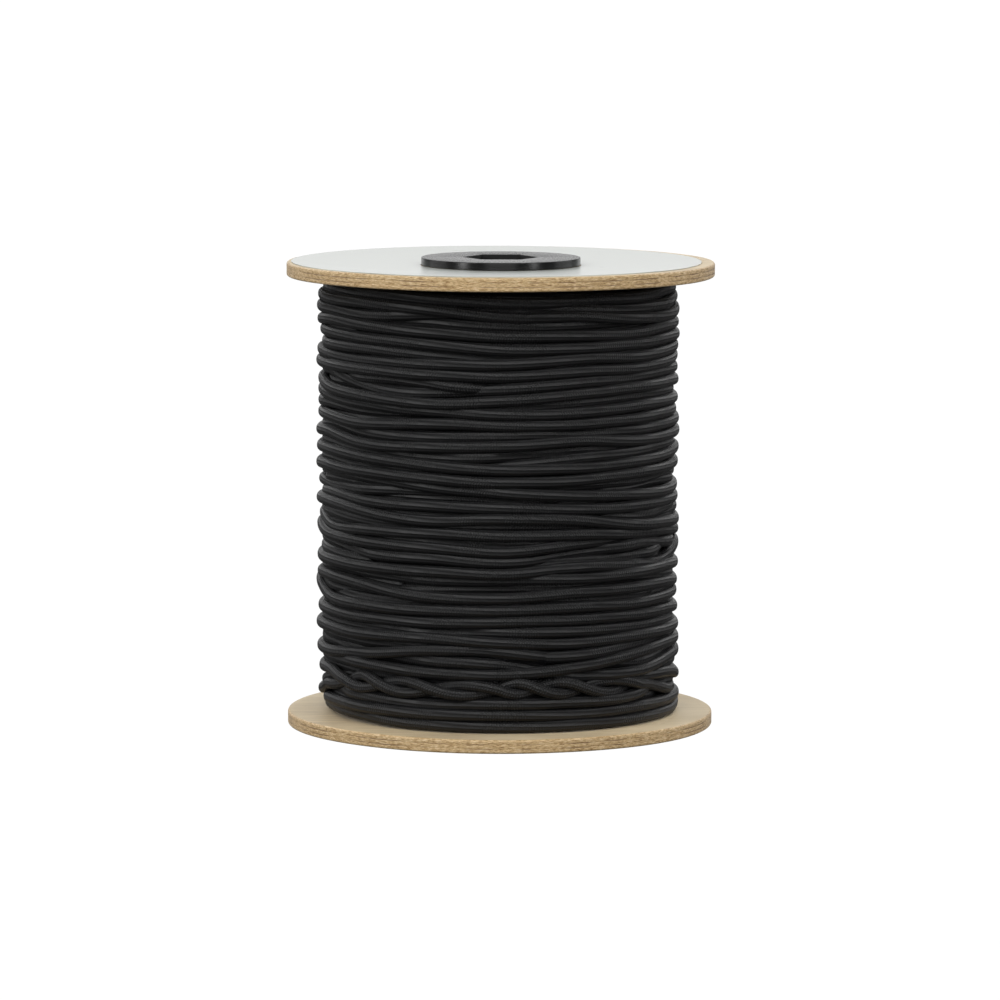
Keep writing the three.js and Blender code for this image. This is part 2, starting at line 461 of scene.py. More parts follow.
# Coated paper, calendered and pasted on: pale and glossy, with the wood's grain just showing through
def coatedPaper():
    material, tree = startMaterial("coated label paper")
    place = addNode(tree, "TexCoord")["Object"]
    streakScale = tuple(1 / (size * mm) for size in label["streak"])
    stretched = addNode(tree, "Mapping", inputs={"Vector": place, "Scale": streakScale})["Vector"]
    streaks = addNode(
        tree, "TexNoise", inputs={"Vector": stretched, "Scale": 1.0, "Detail": 4, "Roughness": 0.55}
    )["Fac"]
    clouds = addNode(
        tree, "TexNoise", inputs={"Vector": place, "Scale": 1 / (label["cloud"] * mm), "Detail": 2}
    )["Fac"]
    tone = addNode(tree, "Mix", {"data_type": "FLOAT"}, {0: 0.4, 2: streaks, 3: clouds})[0]
    colour = addNode(tree, "ValToRGB", {"stops": label["colours"]}, {"Fac": tone})["Color"]
    rough = addNode(tree, "MapRange", inputs={"Value": tone, "To Min": 0.2, "To Max": 0.42})["Result"]
    bump = addNode(
        tree, "Bump", inputs={"Height": streaks, "Strength": 0.3, "Distance": 0.08 * mm}
    )["Normal"]
    shader = addNode(
        tree, "BsdfPrincipled",
        inputs={
            "Base Color": colour, "Roughness": rough, "Normal": bump,
            "Coat Weight": 0.25, "Coat Roughness": 0.15,
        },
    )
    addNode(tree, "OutputMaterial", inputs={"Surface": shader["BSDF"]})
    return material


def makeLabel():
    count = label["segments"]
    rings = label["rings"]
    angle = np.linspace(0, 2 * np.pi, count, endpoint=False)
    inner = np.stack([label["cutRadius"] * np.cos(angle), label["cutRadius"] * np.sin(angle)], 1)
    outer = np.stack([label["radius"] * np.cos(angle) + label["shift"], label["radius"] * np.sin(angle)], 1)
    share = np.linspace(0, 1, rings)[:, None, None]
    flat = inner + (outer - inner) * share
    radius = np.hypot(flat[..., 0], flat[..., 1])
    across, along = label["rippleLengths"]
    ripple = label["ripple"] * np.sin(flat[..., 0] / across + 1) * np.sin(flat[..., 1] / along)
    under = rimHigh - bowAt(radius) + label["clearance"] + np.maximum(ripple, 0)
    over = under + label["thickness"]
    layers = [np.dstack([flat, under]), np.dstack([flat, over])]
    points = np.concatenate([layer.reshape(-1, 3) for layer in layers])
    faces = []
    size = rings * count
    for i in range(count):
        after = (i + 1) % count
        for j in range(rings - 1):
            a, b = j * count + i, j * count + after
            c, d = (j + 1) * count + after, (j + 1) * count + i
            faces += [(a, b, c, d), (a + size, d + size, c + size, b + size)]
        last = (rings - 1) * count
        faces.append((i, i + size, after + size, after))
        faces.append((last + i, last + after, last + after + size, last + i + size))
    return addPiece("round_label", points, faces, coatedPaper(), "label", 40)


makeLabel()
print("label made")

# Hub

hub = {
    "acrossFlats": 25.4,
    "sleeveRadius": 21.7,
    "plate": 3.0,
    "edgeRound": 0.35,
    "boreRound": 0.25,
    "underChamfer": 0.2,  # under the plate's rim
    "sleeveChamfer": 0.4,
    "columnsPerFlat": 24,
    "grain": 0.85,  # mm between the pits of the moulded grain, drawn coarse enough to show
    "colours": [(0.3, "0c0c0c"), (0.55, "141414"), (0.8, "1f1f1f")],
    "wear": 16.7,  # mm across the patches that handling has polished
    "faceRough": (0.2, 0.34),
    "rimRough": 0.22,
    "boreRough": 0.8,
}


# Black ABS from a spark-eroded mould: a fine grain greys the gloss of its face, the rim is smooth
# and takes upright highlights, and the bore, where the core was drawn out, is dull
def mouldedPlastic():
    material, tree = startMaterial("black ABS with a moulded grain")
    coordinates = addNode(tree, "TexCoord")
    place = coordinates["Object"]
    facing = addNode(tree, "SeparateXYZ", inputs={0: coordinates["Normal"]})["Z"]
    onFace = addNode(
        tree, "MapRange", {"interpolation_type": "SMOOTHSTEP"},
        {"Value": facing, "From Min": 0.5, "From Max": 0.9},
    )["Result"]
    fromAxis = distanceFromAxis(tree, addNode(tree, "SeparateXYZ", inputs={0: place}))
    wallRough = addNode(
        tree, "MapRange",
        inputs={
            "Value": fromAxis, "From Min": 0.7 * hub["acrossFlats"] * mm,
            "From Max": 0.8 * hub["acrossFlats"] * mm, "To Min": hub["boreRough"],
            "To Max": hub["rimRough"],
        },
    )["Result"]
    pits = addNode(
        tree, "TexNoise",
        inputs={"Vector": place, "Scale": 1 / (hub["grain"] * mm), "Detail": 3, "Roughness": 0.6},
    )["Fac"]
    wear = addNode(
        tree, "TexNoise", inputs={"Vector": place, "Scale": 1 / (hub["wear"] * mm), "Detail": 4}
    )["Fac"]
    tone = addNode(tree, "Mix", {"data_type": "FLOAT"}, {0: 0.4, 2: pits, 3: wear})[0]
    colour = addNode(tree, "ValToRGB", {"stops": hub["colours"]}, {"Fac": tone})["Color"]
    lowRough, highRough = hub["faceRough"]
    faceRough = addNode(
        tree, "MapRange", inputs={"Value": tone, "To Min": lowRough, "To Max": highRough}
    )["Result"]
    rough = addNode(tree, "Mix", {"data_type": "FLOAT"}, {0: onFace, 2: wallRough, 3: faceRough})[0]
    relief = addNode(tree, "Math", {"operation": "MULTIPLY"}, {0: pits, 1: onFace})["Value"]
    bump = addNode(
        tree, "Bump", inputs={"Height": relief, "Strength": 1.0, "Distance": 0.34 * mm}
    )["Normal"]
    shader = addNode(
        tree, "BsdfPrincipled",
        inputs={
            "Base Color": colour, "Roughness": rough, "Normal": bump, "IOR": 1.54,
            "Specular IOR Level": 0.25,
        },
    )
    addNode(tree, "OutputMaterial", inputs={"Surface": shader["BSDF"]})
    return material


# Each upright slice through the hub has the same outside and a bore that follows the hexagon
def makeHub():
    count = 6 * hub["columnsPerFlat"]
    angle = np.linspace(0, 2 * np.pi, count, endpoint=False)
    apothem = hub["acrossFlats"] / 2
    bore = apothem / np.cos(np.mod(angle, np.pi / 3) - np.pi / 6)
    seat = hubHigh - hub["plate"]
    corner = hub["edgeRound"]
    ease = hub["boreRound"]
    sleeve = hub["sleeveRadius"]
    cut = hub["sleeveChamfer"]
    under = hub["underChamfer"]
    outside = [(sleeve - cut, hubLow), (sleeve, hubLow + cut)]
    outside += [(sleeve, seat), (hubRadius - under, seat), (hubRadius, seat + under)]
    outside += quarterRound(hubRadius - corner, hubHigh - corner, corner, 0)
    inside = [(ease, hubHigh), (0.3 * ease, hubHigh - 0.3 * ease), (0, hubHigh - ease), (0, hubLow)]
    radius = np.stack([np.full(count, r) for r, _ in outside] + [bore + r for r, _ in inside], 1)
    height = np.array([z for _, z in outside + inside])
    heights = np.repeat(height[None], count, 0)
    points = np.stack([radius * np.cos(angle)[:, None], radius * np.sin(angle)[:, None], heights], 2)
    size = len(height)
    faces = []
    for i in range(count):
        after = (i + 1) % count
        for j in range(size):
            up = (j + 1) % size
            faces.append((i * size + j, after * size + j, after * size + up, i * size + up))
    return addPiece("hub_plate", points.reshape(-1, 3), faces, mouldedPlastic(), "hub", 30)


makeHub()
print("hub made")

# Tube

tube = {
    "wall": 4.0,
    "chamfer": 0.4,
    "segments": 160,
    "seam": 45.0,  # mm of height for one turn of the wound board
    "seamWidth": 0.54,
    "seamStrength": 0.55,
    "fibre": (2.381, 2.381, 0.625),  # mm along, through and across the fibres
    "colours": [(0.25, "8d7049"), (0.55, "a88a60"), (0.8, "bda179")],
    "seamColour": "5d4629",
}


# Grey-brown kraft board, wound in a spiral and glued: dry and fibrous, with a slanting seam
def kraftBoard():
    material, tree = startMaterial("spirally wound kraft board")
    place = addNode(tree, "TexCoord")["Object"]
    fibreScale = tuple(1 / (size * mm) for size in tube["fibre"])
    stretched = addNode(tree, "Mapping", inputs={"Vector": place, "Scale": fibreScale})["Vector"]
    fibres = addNode(
        tree, "TexNoise", inputs={"Vector": stretched, "Scale": 1.0, "Detail": 4, "Roughness": 0.65}
    )["Fac"]
    colour = addNode(tree, "ValToRGB", {"stops": tube["colours"]}, {"Fac": fibres})["Color"]
    parts = addNode(tree, "SeparateXYZ", inputs={0: place})
    angle = addNode(tree, "Math", {"operation": "ARCTAN2"}, {0: parts["Y"], 1: parts["X"]})["Value"]
    shareRound = addNode(
        tree, "Math", {"operation": "MULTIPLY"}, {0: angle, 1: 1 / (2 * math.pi)}
    )["Value"]
    climb = addNode(
        tree, "Math", {"operation": "MULTIPLY_ADD"},
        {0: parts["Z"], 1: 1 / (tube["seam"] * mm), 2: shareRound},
    )["Value"]
    ribbon = addNode(tree, "Math", {"operation": "FRACT"}, {0: climb})["Value"]
    seam = addNode(
        tree, "MapRange",
        inputs={
            "Value": ribbon, "From Max": tube["seamWidth"] / tube["seam"], "To Min": tube["seamStrength"],
            "To Max": 0.0,
        },
    )["Result"]
    colour = addNode(
        tree, "Mix", {"data_type": "RGBA"}, {0: seam, 6: colour, 7: linearColour(tube["seamColour"])}
    )[2]
    bump = addNode(
        tree, "Bump", inputs={"Height": fibres, "Strength": 0.3, "Distance": 0.12 * mm}
    )["Normal"]
    shader = addNode(
        tree, "BsdfPrincipled", inputs={"Base Color": colour, "Roughness": 0.86, "Normal": bump}
    )
    addNode(tree, "OutputMaterial", inputs={"Surface": shader["BSDF"]})
    return material


def makeTube():
    inner = tubeRadius - tube["wall"]
    cut = tube["chamfer"]
    section = [(inner, tubeLow + cut), (inner + cut, tubeLow)]
    section += [(tubeRadius - cut, tubeLow), (tubeRadius, tubeLow + cut)]
    section += [(tubeRadius, tubeHigh - cut), (tubeRadius - cut, tubeHigh)]
    section += [(inner + cut, tubeHigh), (inner, tubeHigh - cut)]
    points, faces = turned(section, tube["segments"])
    return addPiece("board_tube", points, faces, kraftBoard(), "tube", 35)


makeTube()
print("tube made")

# Cord

cord = {
    "diameter": 4.35,  # a nominal 4.75 mm, drawn out by the tension
    "twisted": 0.95,  # the two twisted turns are drawn out more
    "flatten": 0.97,  # the section's depth as a share of its width, pressed by the tension
    "squareness": 2.3,  # 2 is a round section, more is a section pressed square by its neighbours
    "contact": 4.0,  # how close the middles of two touching turns come, as the cord is soft
    "crest": 69.4,  # radius over the outer turns, halfway up
    "lowDrop": 1.4,  # how much smaller it is beside the lower flange, at the front
    "lowSides": 0.86,  # how far that drop lessens towards both sides
    "lowLean": 0.79,  # and how far it is more at the left than at the right
    "highDrop": 0.5,
    "dropShape": 6,  # more keeps the drop closer to the flange
    "layerStep": 4.1,
    "litAbove": 0.75,  # a turn's lit upper side lies this much above its middle
    "offCentre": 1.0,  # mm that the winding's middle lies to the left of the axis
    "dive": 14.0,  # degrees over which an end goes under its neighbours
    "sides": 20,
    "step": 2.0,  # degrees between the rings of a turn
    "sway": 0.1,  # small uneven wander of a hand-guided winding
    "stray": 0.7,  # mm that a turn may lie off its place round the back
    "keepFront": 0.4,  # how far a turn keeps its front height round the back, where turns lie evenly
    "lapped": 0.9,  # size of a tube's first and last ring, which lie inside the next tube
}

# How turns that press on each other give way
settling = {
    "rounds": 60,
    "pace": 0.5,
    "pullBack": 0.06,  # the share of its way back to its layer that a turn takes in a round
    "upperShare": 0.15,  # of the step where two turns cross, the share that the upper one takes
    "highest": 0.8,  # a turn's limits above and below its layer
    "deepest": 4.6,  # at the front, where turns cross, and less round the back where they lie in order
    "deepestBehind": 1.5,
    "behindFrom": (62, 82),  # degrees round from the front
}

sheath = {
    "columns": 12,  # columns of slanting yarns round the sheath, mirrored by turns
    "pitch": 1.0,  # mm along the cord between yarns: the real 0.5 mm is too fine to show
    "lean": 0.4,  # how far a yarn runs along the cord while it crosses its column, in pitches
    "wander": 700.0,  # mm along the cord in which the columns go once round it
    "patch": 14.29,  # mm across the patches where the braid opens and its ribs show
    "closedRib": 0.62,  # height of the ribs where it is closed
    "fuzz": 2.381,  # mm across the largest of its tufts
    "fuzzShare": 0.3,
    "rough": (0.38, 0.58),
    "relief": 0.24,
    "colours": [(0.0, "030303"), (0.4, "0f0f10"), (0.7, "1c1c1d")],
    "paintedCrownHighlight": "39393b",  # colour of the yarns where they rise highest, a painted highlight; the near-black bottom of the colours is painted shade between the yarns
    "open": (0.42, 0.6),  # lower values open more of the braid
    # the twisted pair's sheath: more of its braid opens, and its crowns get a brighter painted highlight
    "drawnPaintedCrownHighlight": "515154",
    "drawnOpen": (0.3, 0.46),
}

# The layer beneath the outer one
innerLayer = {
    "tighter": 0.05,  # mm that its turns lie closer than the cord is thick
    "start": 0.6,  # mm from the lower flange to its first turn
    "sway": 0.4,
    "swayWaves": 2.02,  # in a turn
    "sunk": 0.7,  # mm that it may lie deeper than its own place
    "gapDepth": 0.9,  # mm that a turn pressed up into a gap stays lower than the outer ones
    "smoothing": 11,
    "turnsPerTube": 8,
    "sides": 12,
}

heart = {
    "segments": 96,
    "valley": 0.9,  # mm that its ridged side lies outside the middle of the third layer
    "ridge": 2.3,
    "halfRidge": 0.45,  # of the step from ridge to ridge
    "laidRadius": 60.0,  # where the braid is laid out round it
    "cordRound": 14.9,  # mm once round the cord
}

# Angles at which the heights of the full turns are given
columns = (-88, -72, -49, -24, 1, 26, 51, 76, 88)

# Every turn of the outer layer: its rank at the left and right, where the higher of two turns that
# cross lies on top, and the height of its lit upper side at each of the columns
turns = [
    (0.5, 1.2, (9.4, 9.6, 9.2, 8.6, 8.6, 8.5, 8.5, 8.6, 9.3)),
    (0.8, 0.6, (11.8, 12.6, 12.9, 12.7, 13.0, 12.6, 12.9, 12.8, 13.3)),
    (2.0, 0.2, (23.4, 24.5, 20.8, 21.0, 22.0, 24.0, 22.8, 17.0, 16.0)),
    (1.0, -0.8, (14.4, 18.2, 25.4, 24.0, 22.0, 22.0, 24.0, 19.5, 18.4)),
    (-1.0, 0.4, (18.0, 21.8, 23.5, 23.5, 23.0, 23.5, 24.3, 23.0, 20.6)),
    (1.0, 1.0, (28.2, 28.9, 29.8, 28.7, 28.5, 30.8, 33.8, 35.0, 34.8)),
    (1.0, -1.0, (31.2, 31.6, 33.8, 37.3, 37.0, 33.5, 30.4, 32.3, 32.0)),
    (-0.3, 0.8, (35.3, 35.3, 34.0, 33.3, 32.2, 27.2, 26.9, 29.7, 29.8)),
    (0.0, -0.4, (37.8, 38.3, 38.5, 38.8, 35.2, 35.3, 37.2, 37.5, 37.1)),
    (0.6, 0.8, (40.3, 41.0, 41.2, 41.9, 40.7, 40.0, 40.4, 40.2, 39.9)),
    (-0.2, -0.6, (43.2, 43.6, 44.2, 44.2, 44.5, 44.4, 44.2, 44.0, 43.2)),
    (0.8, 0.6, (47.0, 47.2, 47.5, 47.9, 48.6, 48.8, 48.6, 47.9, 46.5)),
    (1.4, 0.5, (56.8, 52.8, 52.2, 52.4, 53.0, 53.5, 53.0, 53.5, 53.0)),
    (-0.8, -0.3, (58.8, 57.4, 57.2, 60.2, 61.2, 61.8, 62.8, 61.5, 60.8)),
    (0.8, 1.0, (60.6, 60.9, 60.2, 57.5, 57.5, 59.2, 59.0, 58.3, 57.3)),
    (0.5, 0.8, (62.6, 64.4, 64.8, 64.0, 64.3, 64.5, 64.7, 64.7, 63.8)),
    (0.8, 0.6, (66.6, 67.1, 67.0, 67.2, 67.0, 68.7, 67.7, 67.2, 71.0)),
    (0.3, -0.2, (74.0, 73.4, 72.2, 72.2, 71.2, 73.8, 75.5, 73.6, 73.8)),
    (1.2, -0.4, (78.6, 76.8, 76.6, 76.2, 75.3, 77.6, 78.4, 79.0, 79.2)),
    (0.5, 0.9, (82.4, 80.0, 81.0, 81.8, 81.3, 81.0, 79.6, 78.1, 76.8)),
    (-0.2, 0.2, (85.6, 85.6, 84.6, 84.5, 84.9, 84.6, 84.4, 85.0, 85.4)),
    (1.0, 1.0, (88.8, 89.5, 88.0, 86.6, 87.7, 86.5, 83.1, 81.4, 80.8)),
    (0.6, 0.8, (91.6, 92.7, 92.3, 92.0, 91.8, 90.8, 90.0, 89.9, 89.6)),
    (0.3, 0.3, (95.5, 95.4, 96.6, 97.4, 98.6, 99.6, 99.9, 100.8, 99.8)),
    (0.2, 0.9, (99.9, 101.0, 101.0, 99.2, 97.5, 96.0, 94.4, 93.9, 94.3)),
    (0.8, 0.6, (102.6, 103.4, 103.2, 102.6, 101.5, 101.8, 102.9, 103.3, 103.2)),
    (0.2, 0.2, (105.6, 106.2, 105.6, 105.5, 107.3, 109.9, 111.2, 111.7, 111.6)),
    (0.9, 1.0, (109.0, 109.4, 108.9, 107.6, 106.3, 106.4, 107.2, 107.9, 108.4)),
    (0.3, -0.6, (112.0, 112.4, 111.4, 110.5, 111.1, 112.9, 113.4, 116.0, 117.4)),
    (0.9, 1.0, (115.2, 116.4, 113.9, 114.3, 115.3, 116.6, 115.1, 115.2, 115.4)),
    (0.7, 0.6, (117.8, 119.4, 118.3, 118.0, 119.0, 119.2, 119.2, 119.7, 119.9)),
    (0.7, 0.9, (121.9, 122.4, 121.6, 123.2, 122.9, 123.0, 123.5, 124.0, 124.1)),
    (-0.3, -0.4, (126.6, 126.6, 126.2, 127.2, 129.3, 131.0, 132.2, 132.1, 131.4)),
    (0.9, 0.9, (130.8, 129.7, 128.9, 127.9, 127.0, 127.3, 128.3, 128.1, 128.0)),
    (1.2, 1.0, (135.2, 133.3, 132.0, 131.0, 132.2, 134.3, 135.5, 135.3, 134.8)),
    (-0.6, 0.2, (139.4, 139.6, 135.4, 134.6, 136.8, 138.5, 139.2, 140.0, 139.8)),
    (0.7, 0.8, (142.0, 141.9, 142.0, 141.9, 141.4, 142.7, 142.9, 143.6, 144.2)),
    (0.6, 0.2, (146.3, 145.7, 145.4, 145.8, 146.0, 147.5, 147.2, 148.0, 148.5)),
    (0.2, -0.6, (149.6, 150.0, 150.0, 149.3, 148.1, 149.0, 149.5, 150.3, 150.3)),
    (0.6, 0.8, (154.3, 154.4, 154.2, 153.2, 151.3, 151.8, 151.9, 152.5, 152.4)),
    (1.0, 0.5, (158.1, 159.4, 158.9, 157.8, 156.5, 156.3, 156.1, 157.1, 156.8)),
    (0.0, -0.5, (161.4, 161.2, 160.6, 161.2, 160.3, 160.3, 160.8, 161.0, 160.0)),
    (0.3, 0.6, (163.4, 162.9, 162.6, 164.3, 166.2, 165.9, 165.3, 166.2, 166.7)),
    (0.9, 1.0, (167.3, 167.4, 167.4, 166.2, 164.0, 163.7, 161.5, 161.2, 162.2)),
    (0.5, 0.5, (170.6, 170.8, 170.7, 170.3, 169.0, 169.2, 169.8, 170.7, 170.6)),
]
twistedRows = (2, 3)  # the rows of the two turns that twist together

# Stretches of turns that come up between the others and go under again: rank, then angle and height
partTurns = [
    (0.5, ((-72, 17.6), (-62, 17.3), (-50, 16.8), (-25, 16.3), (0, 17.2), (25, 17.2), (50, 17.8),
           (62, 19.8))),
    (-0.7, ((-84, 27.0), (-75, 26.8), (-50, 26.6), (-25, 26.2), (0, 26.0))),
    (-0.3, ((36, 24.4), (55, 23.3), (75, 21.8), (84, 21.6))),
    (-0.7, ((34, 26.0), (50, 26.2), (75, 26.4), (110, 25.6))),
    (-0.6, ((-68, 54.9), (-45, 54.8), (-22, 55.0))),
    (-0.5, ((34, 53.4), (50, 53.9), (75, 55.0), (84, 55.2))),
    (-0.5, ((8, 56.6), (25, 56.5), (50, 56.2), (64, 56.0))),
    (0.1, ((-84, 63.5), (-75, 63.3), (-50, 61.8), (-34, 61.0))),
    (0.6, ((-115, 70.2), (-75, 70.1), (-48, 69.6))),
    (0.3, ((10, 69.6), (25, 70.5), (50, 70.8), (62, 71.4), (72, 73.2))),
    (-0.5, ((-48, 79.0), (-25, 79.0), (0, 78.2), (20, 78.6))),
    (-0.3, ((-84, 81.8), (-75, 81.9), (-56, 82.4))),
    (0.4, ((36, 87.4), (55, 86.2), (75, 87.0), (88, 87.2))),
    (-0.2, ((48, 83.4), (60, 82.6), (75, 83.4), (110, 85.2))),
    (-0.4, ((-42, 94.8), (-25, 95.0), (0, 94.8), (20, 93.8))),
    (-0.3, ((-80, 98.0), (-66, 98.6), (-50, 98.8), (-40, 99.0))),
    (0.1, ((36, 97.0), (50, 97.2), (65, 98.0), (76, 97.8), (84, 97.6))),
    (-0.3, ((56, 125.6), (75, 125.6), (84, 125.7))),
    (0.2, ((-62, 139.4), (-50, 139.0), (-40, 139.3), (-25, 138.6), (-14, 137.4), (-2, 136.8))),
    (-0.4, ((52, 145.4), (75, 145.5), (84, 145.6))),
    (-0.5, ((-84, 156.3), (-75, 156.4), (-56, 156.6))),
    (-0.2, ((54, 163.2), (75, 163.8), (84, 163.9))),
]

# The two turns that wind round each other: at each angle how many half turns they have made, and
# their middle line and swing up and down along the front
twist = {
    "crossings": ((-74, -1.5), (-58, -1), (-41.5, 0), (-21.8, 1), (-0.5, 2), (12.2, 3), (28.6, 4),
                  (50, 5), (58, 5.5)),
    "middle": ((-82, 20.4), (-74, 20.7), (-66, 20.9), (-58, 21.3), (-50, 21.9), (-31, 21.8),
               (-11, 21.8), (5, 22.5), (18, 22.3), (40, 21.4), (50, 21.6), (56, 21.4), (63, 19.6),
               (70, 18.0), (75, 17.2), (82, 17.0)),
    "swing": ((-82, 3.2), (-74, 3.2), (-66, 3.1), (-58, 2.7), (-50, 2.45), (-31, 2.2), (-11, 2.0),
              (5, 2.15), (40, 2.3), (50, 2.0), (56, 1.2), (75, 1.2), (82, 1.2)),
    "reach": 66.6,  # radius of their middle line
    "depth": 1.95,  # how far each swings in and out of it
    "leavesRow": ((-80, -74), (74, 80)),  # where they leave their own rows' heights and go back
    "leavesLayer": ((-74, -63), (53, 64)),  # where they leave the layer's radius and go back
}

stations = np.arange(-180, 180 + cord["step"] / 2, cord["step"])
windingLow = plyHigh + pieceGap
windingHigh = rimHigh - flange["bow"] - plyThickness - pieceGap


# Radius of the middle of a turn that lies in the outer layer, at a height and an angle
def layerRadius(height, angle):
    middle = (windingLow + windingHigh) / 2
    t = (np.asarray(height, float) - middle) / (windingHigh - middle)
    side = np.sin(np.radians(angle))
    sideShare = 1 - cord["lowSides"] * side ** 2 - cord["lowLean"] * side
    low = cord["lowDrop"] * sideShare * np.clip(-t, 0, 1.05) ** cord["dropShape"]
    high = cord["highDrop"] * np.clip(t, 0, 1.05) ** cord["dropShape"]
    return cord["crest"] - low - high - cord["offCentre"] * side - cord["diameter"] / 2


# Who follows whom at the back: a turn's right end, counted up the spool, joins the next left end up
def followTurns():
    leftOrder = sorted(range(len(turns)), key=lambda k: turns[k][2][0])
    rightOrder = sorted(range(len(turns)), key=lambda k: turns[k][2][-1])
    after = {rightOrder[j]: leftOrder[j + 1] for j in range(len(turns) - 1)}
    return leftOrder, rightOrder, after


# Heights at the back where each turn joins the next, from the lowest end to the highest
def seamHeights(leftOrder, rightOrder, stray):
    count = len(turns)
    low, high = turns[leftOrder[0]][2][0], turns[leftOrder[-1]][2][0]
    spacing = (high - low) / (count - 1)
    keep = cord["keepFront"]
    seams = np.zeros(count + 1)
    for j in range(1, count):
        local = (turns[rightOrder[j - 1]][2][-1] + turns[leftOrder[j]][2][0]) / 2
        seams[j] = keep * local + (1 - keep) * (low + (j - 0.5) * spacing) + stray[j, 1]
    seams[0], seams[count] = low, turns[rightOrder[-1]][2][-1]
    return seams


# Heights that each turn runs through, from its seam at the left round the front to the one at the right
def turnKnots(leftOrder, rightOrder):
    stray = chance.uniform(-cord["stray"], cord["stray"], (len(turns) + 1, 3))
    seams = seamHeights(leftOrder, rightOrder, stray)
    knots = []
    for k, (_, _, front) in enumerate(turns):
        comes, goes = leftOrder.index(k), rightOrder.index(k) + 1
        left, right = seams[comes], seams[goes]
        fromLeft = [left, left + (front[0] - left) / 3, left + (front[0] - left) * 2 / 3]
        toRight = [front[-1] + (right - front[-1]) / 3, front[-1] + (right - front[-1]) * 2 / 3, right]
        fromLeft[1] += stray[comes, 0]
        toRight[1] += stray[goes, 2]
        knots.append([*fromLeft, *front, *toRight])
    return knots


# Heights and ranks of all full turns at every station, from -180 round the front to 180
def layTurns():
    leftOrder, rightOrder, after = followTurns()
    before = {b: a for a, b in after.items()}
    knots = turnKnots(leftOrder, rightOrder)
    angles = [-210, -180, -150, -119, *columns, 119, 150, 180, 210]
    heights, ranks = [], []
    for k, (rankLeft, rankRight, _) in enumerate(turns):
        earlier = knots[before[k]][-2] if k in before else knots[k][0]
        later = knots[after[k]][1] if k in after else knots[k][-1]
        heights.append(throughKnots(angles, [earlier, *knots[k], later], stations) - cord["litAbove"])
        rankFrom = (rankLeft + turns[before[k]][1]) / 2 if k in before else rankLeft
        rankTo = (rankRight + turns[after[k]][0]) / 2 if k in after else rankRight
        ranks.append(np.interp(stations, (-180, -60, 60, 180), (rankFrom, rankLeft, rankRight, rankTo)))
    return np.array(heights), np.array(ranks), before, after


# Heights and radii of the two turns along the stretch where they twist
def layTwist():
    phase = np.pi * np.interp(stations, *zip(*twist["crossings"]))
    middle = throughKnots(*zip(*twist["middle"]), stations)
    swing = throughKnots(*zip(*twist["swing"]), stations)
    within, ease = (
        easeBetween(*comes, stations) * (1 - easeBetween(*goes, stations))
        for comes, goes in (twist["leavesRow"], twist["leavesLayer"])
    )
    heightAbove = middle - swing * np.sin(phase)
    heightBelow = middle + swing * np.sin(phase)
    radiusAbove = twist["reach"] + twist["depth"] * np.cos(phase)
    radiusBelow = twist["reach"] - twist["depth"] * np.cos(phase)
    return within, ease, (heightBelow, heightAbove), (radiusBelow, radiusAbove)


# Smooths each row along its turn, carrying on into the turns before and after it
def smoothAlong(rows, before, after, width):
    reach = 4 * width
    kernel = np.exp(-0.5 * (np.arange(-reach, reach + 1) / width) ** 2)
    kernel /= kernel.sum()
    smoothed = np.empty_like(rows)
    for k, row in enumerate(rows):
        head = rows[before[k]][-reach - 1:-1] if k in before else np.full(reach, row[0])
        tail = rows[after[k]][1:reach + 1] if k in after else np.full(reach, row[-1])
        smoothed[k] = np.convolve(np.concatenate([head, row, tail]), kernel, "valid")
    return smoothed


# Presses the turns apart wherever two come closer than their contact distance: the one of higher
# rank rises a little and the other gives way into the layer beneath
def settle(heights, ranks, present, held, heldRadii):
    layer = layerRadius(heights, stations)
    sunk = layer - cord["layerStep"] * (1 - present)
    radii = sunk.copy()
    across = heights[:, None] - heights[None]
    need = np.sqrt(np.maximum(cord["contact"] ** 2 - across ** 2, 0))
    need *= present[:, None] * present[None]
    order = ranks + np.arange(len(ranks))[:, None] * 1e-4
    isUpper = order[:, None] > order[None]
    limits = (settling["deepest"], settling["deepestBehind"])
    deepest = np.interp(np.abs(stations), settling["behindFrom"], limits)
    riseShare = settling["pace"] * settling["upperShare"]
    sinkShare = settling["pace"] * (1 - settling["upperShare"])
    for _ in range(settling["rounds"]):
        radii = held * heldRadii + (1 - held) * radii
        short = np.where(isUpper, need - (radii[:, None] - radii[None]), 0)
        short = np.maximum(short, 0) * (need > 0)
        radii = radii + riseShare * short.max(1) - sinkShare * short.max(0)
        radii = radii + settling["pullBack"] * (sunk - radii)
        radii = np.clip(radii, layer - deepest, layer + settling["highest"])
    return held * heldRadii + (1 - held) * radii


